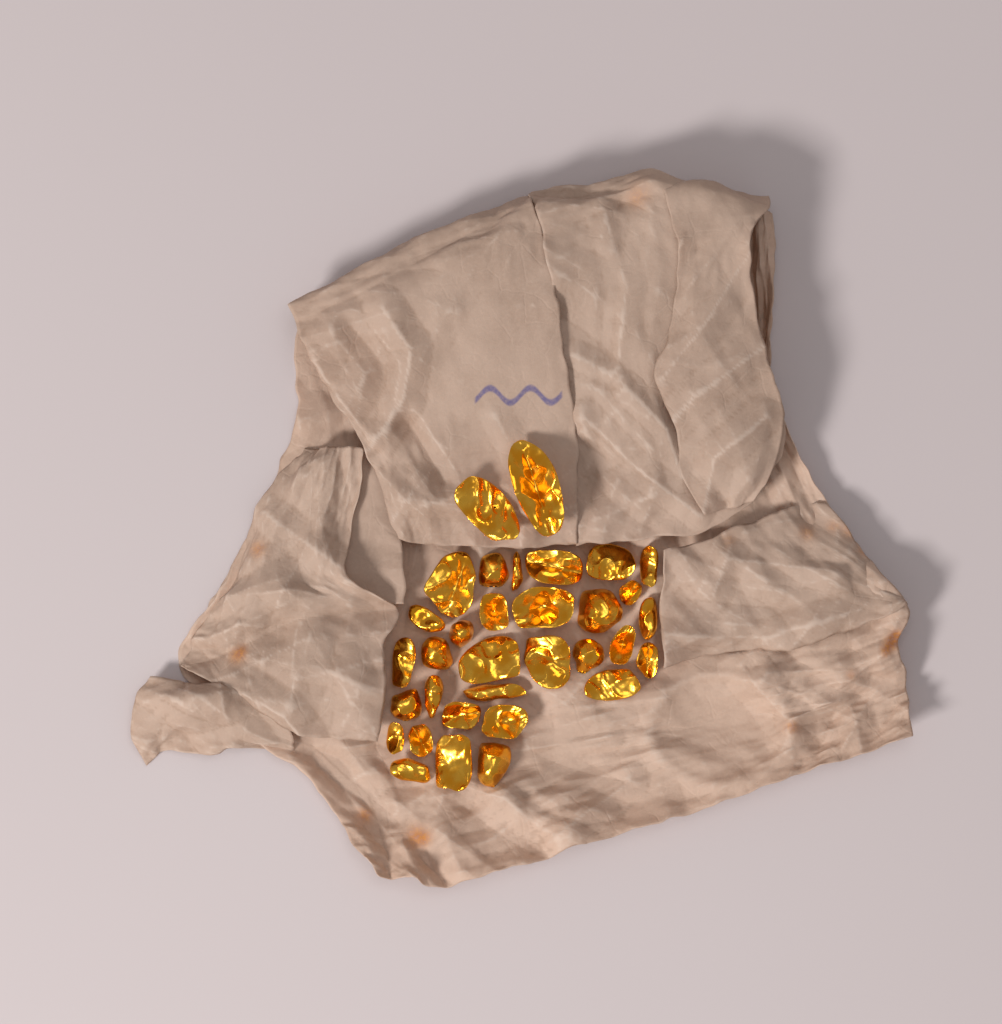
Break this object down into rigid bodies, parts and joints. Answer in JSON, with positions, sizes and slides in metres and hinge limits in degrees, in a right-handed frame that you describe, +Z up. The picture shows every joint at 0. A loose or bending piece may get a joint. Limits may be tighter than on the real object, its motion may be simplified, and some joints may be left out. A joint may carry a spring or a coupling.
{
  "type": "opened paper wrap of gold granules",
  "caption": "Opened tissue-paper wrap with its back edge rolled over and its sides folded in, holding loose granules of melted gold in a shallow tray.",
  "frame": {"origin": "centre of the bounding box in plan, on the surface that the wrap lies on", "axes": "+X to the right of the open wrap, +Y towards its rolled back edge, +Z up"},
  "size_m": [0.0972, 0.0875, 0.0097],
  "materials": {
    "tissue_paper": "thin crumpled off-white tissue, matt, with rust-coloured stains",
    "gold": "bright melted gold, polished and dimpled"
  },
  "bodies": {
    "wrap": {"wrap_floor": "tissue_paper", "roll_wall_left": "tissue_paper", "roll_wall_right": "tissue_paper", "left_inner_fold": "tissue_paper", "corner_twist": "tissue_paper"},
    "label_flap": {"label_flap": "tissue_paper"},
    "back_flap": {"back_flap": "tissue_paper"},
    "left_flap": {"left_flap": "tissue_paper"},
    "right_flap": {"right_flap": "tissue_paper"},
    "front_lip": {"front_lip": "tissue_paper"},
    "gold_granule_01": {"gold_granule_01": "gold"},
    "gold_granule_02": {"gold_granule_02": "gold"},
    "gold_granule_03": {"gold_granule_03": "gold"},
    "gold_granule_04": {"gold_granule_04": "gold"},
    "gold_granule_05": {"gold_granule_05": "gold"},
    "gold_granule_06": {"gold_granule_06": "gold"},
    "gold_granule_07": {"gold_granule_07": "gold"},
    "gold_granule_08": {"gold_granule_08": "gold"},
    "gold_granule_09": {"gold_granule_09": "gold"},
    "gold_granule_10": {"gold_granule_10": "gold"},
    "gold_granule_11": {"gold_granule_11": "gold"},
    "gold_granule_12": {"gold_granule_12": "gold"},
    "gold_granule_13": {"gold_granule_13": "gold"},
    "gold_granule_14": {"gold_granule_14": "gold"},
    "gold_granule_15": {"gold_granule_15": "gold"},
    "gold_granule_16": {"gold_granule_16": "gold"},
    "gold_granule_17": {"gold_granule_17": "gold"},
    "gold_granule_18": {"gold_granule_18": "gold"},
    "gold_granule_19": {"gold_granule_19": "gold"},
    "gold_granule_20": {"gold_granule_20": "gold"},
    "gold_granule_21": {"gold_granule_21": "gold"},
    "gold_granule_22": {"gold_granule_22": "gold"},
    "gold_granule_23": {"gold_granule_23": "gold"},
    "gold_granule_24": {"gold_granule_24": "gold"},
    "gold_granule_25": {"gold_granule_25": "gold"},
    "gold_granule_26": {"gold_granule_26": "gold"},
    "gold_granule_27": {"gold_granule_27": "gold"},
    "gold_granule_28": {"gold_granule_28": "gold"},
    "gold_granule_29": {"gold_granule_29": "gold"},
    "gold_granule_30": {"gold_granule_30": "gold"},
    "gold_granule_31": {"gold_granule_31": "gold"},
    "gold_granule_32": {"gold_granule_32": "gold"},
    "gold_granule_33": {"gold_granule_33": "gold"}
  },
  "joints": [
    {"name": "fold_back_flap", "type": "hinge", "parent": "wrap", "child": "back_flap", "pos_m": [0.0052, 0.0272, 0.0079], "axis": [-0.9734, -0.2273, -0.0289], "range_deg": [0, 110]},
    {"name": "fold_front_lip", "type": "hinge", "parent": "wrap", "child": "front_lip", "pos_m": [-0.0224, -0.0376, 0.00105], "axis": [-0.9691, -0.2465, -0.011], "range_deg": [0, 60]},
    {"name": "fold_label_flap", "type": "hinge", "parent": "wrap", "child": "label_flap", "pos_m": [-0.0245, 0.02015, 0.0069], "axis": [-0.9735, -0.2237, -0.0478], "range_deg": [0, 110]},
    {"name": "fold_left_flap", "type": "hinge", "parent": "wrap", "child": "left_flap", "pos_m": [-0.027, 0.0106, 0.0007], "axis": [-0.502, -0.8649, 0], "range_deg": [0, 110]},
    {"name": "fold_right_flap", "type": "hinge", "parent": "wrap", "child": "right_flap", "pos_m": [0.0382, 0.00395, 0.0026], "axis": [-0.6037, 0.7896, -0.1098], "range_deg": [0, 110]},
    {"name": "lift_granule_01", "type": "slide", "parent": "wrap", "child": "gold_granule_01", "axis": [0, 0, 1], "range_m": [0, 0.015]},
    {"name": "lift_granule_02", "type": "slide", "parent": "wrap", "child": "gold_granule_02", "axis": [0, 0, 1], "range_m": [0, 0.015]},
    {"name": "lift_granule_03", "type": "slide", "parent": "wrap", "child": "gold_granule_03", "axis": [0, 0, 1], "range_m": [0, 0.015]},
    {"name": "lift_granule_04", "type": "slide", "parent": "wrap", "child": "gold_granule_04", "axis": [0, 0, 1], "range_m": [0, 0.015]},
    {"name": "lift_granule_05", "type": "slide", "parent": "wrap", "child": "gold_granule_05", "axis": [0, 0, 1], "range_m": [0, 0.015]},
    {"name": "lift_granule_06", "type": "slide", "parent": "wrap", "child": "gold_granule_06", "axis": [0, 0, 1], "range_m": [0, 0.015]},
    {"name": "lift_granule_07", "type": "slide", "parent": "wrap", "child": "gold_granule_07", "axis": [0, 0, 1], "range_m": [0, 0.015]},
    {"name": "lift_granule_08", "type": "slide", "parent": "wrap", "child": "gold_granule_08", "axis": [0, 0, 1], "range_m": [0, 0.015]},
    {"name": "lift_granule_09", "type": "slide", "parent": "wrap", "child": "gold_granule_09", "axis": [0, 0, 1], "range_m": [0, 0.015]},
    {"name": "lift_granule_10", "type": "slide", "parent": "wrap", "child": "gold_granule_10", "axis": [0, 0, 1], "range_m": [0, 0.015]},
    {"name": "lift_granule_11", "type": "slide", "parent": "wrap", "child": "gold_granule_11", "axis": [0, 0, 1], "range_m": [0, 0.015]},
    {"name": "lift_granule_12", "type": "slide", "parent": "wrap", "child": "gold_granule_12", "axis": [0, 0, 1], "range_m": [0, 0.015]},
    {"name": "lift_granule_13", "type": "slide", "parent": "wrap", "child": "gold_granule_13", "axis": [0, 0, 1], "range_m": [0, 0.015]},
    {"name": "lift_granule_14", "type": "slide", "parent": "wrap", "child": "gold_granule_14", "axis": [0, 0, 1], "range_m": [0, 0.015]},
    {"name": "lift_granule_15", "type": "slide", "parent": "wrap", "child": "gold_granule_15", "axis": [0, 0, 1], "range_m": [0, 0.015]},
    {"name": "lift_granule_16", "type": "slide", "parent": "wrap", "child": "gold_granule_16", "axis": [0, 0, 1], "range_m": [0, 0.015]},
    {"name": "lift_granule_17", "type": "slide", "parent": "wrap", "child": "gold_granule_17", "axis": [0, 0, 1], "range_m": [0, 0.015]},
    {"name": "lift_granule_18", "type": "slide", "parent": "wrap", "child": "gold_granule_18", "axis": [0, 0, 1], "range_m": [0, 0.015]},
    {"name": "lift_granule_19", "type": "slide", "parent": "wrap", "child": "gold_granule_19", "axis": [0, 0, 1], "range_m": [0, 0.015]},
    {"name": "lift_granule_20", "type": "slide", "parent": "wrap", "child": "gold_granule_20", "axis": [0, 0, 1], "range_m": [0, 0.015]},
    {"name": "lift_granule_21", "type": "slide", "parent": "wrap", "child": "gold_granule_21", "axis": [0, 0, 1], "range_m": [0, 0.015]},
    {"name": "lift_granule_22", "type": "slide", "parent": "wrap", "child": "gold_granule_22", "axis": [0, 0, 1], "range_m": [0, 0.015]},
    {"name": "lift_granule_23", "type": "slide", "parent": "wrap", "child": "gold_granule_23", "axis": [0, 0, 1], "range_m": [0, 0.015]},
    {"name": "lift_granule_24", "type": "slide", "parent": "wrap", "child": "gold_granule_24", "axis": [0, 0, 1], "range_m": [0, 0.015]},
    {"name": "lift_granule_25", "type": "slide", "parent": "wrap", "child": "gold_granule_25", "axis": [0, 0, 1], "range_m": [0, 0.015]},
    {"name": "lift_granule_26", "type": "slide", "parent": "wrap", "child": "gold_granule_26", "axis": [0, 0, 1], "range_m": [0, 0.015]},
    {"name": "lift_granule_27", "type": "slide", "parent": "wrap", "child": "gold_granule_27", "axis": [0, 0, 1], "range_m": [0, 0.015]},
    {"name": "lift_granule_28", "type": "slide", "parent": "wrap", "child": "gold_granule_28", "axis": [0, 0, 1], "range_m": [0, 0.015]},
    {"name": "lift_granule_29", "type": "slide", "parent": "wrap", "child": "gold_granule_29", "axis": [0, 0, 1], "range_m": [0, 0.015]},
    {"name": "lift_granule_30", "type": "slide", "parent": "wrap", "child": "gold_granule_30", "axis": [0, 0, 1], "range_m": [0, 0.015]},
    {"name": "lift_granule_31", "type": "slide", "parent": "wrap", "child": "gold_granule_31", "axis": [0, 0, 1], "range_m": [0, 0.015]},
    {"name": "lift_granule_32", "type": "slide", "parent": "label_flap", "child": "gold_granule_32", "axis": [0, 0, 1], "range_m": [0, 0.015]},
    {"name": "lift_granule_33", "type": "slide", "parent": "label_flap", "child": "gold_granule_33", "axis": [0, 0, 1], "range_m": [0, 0.015]}
  ]
}
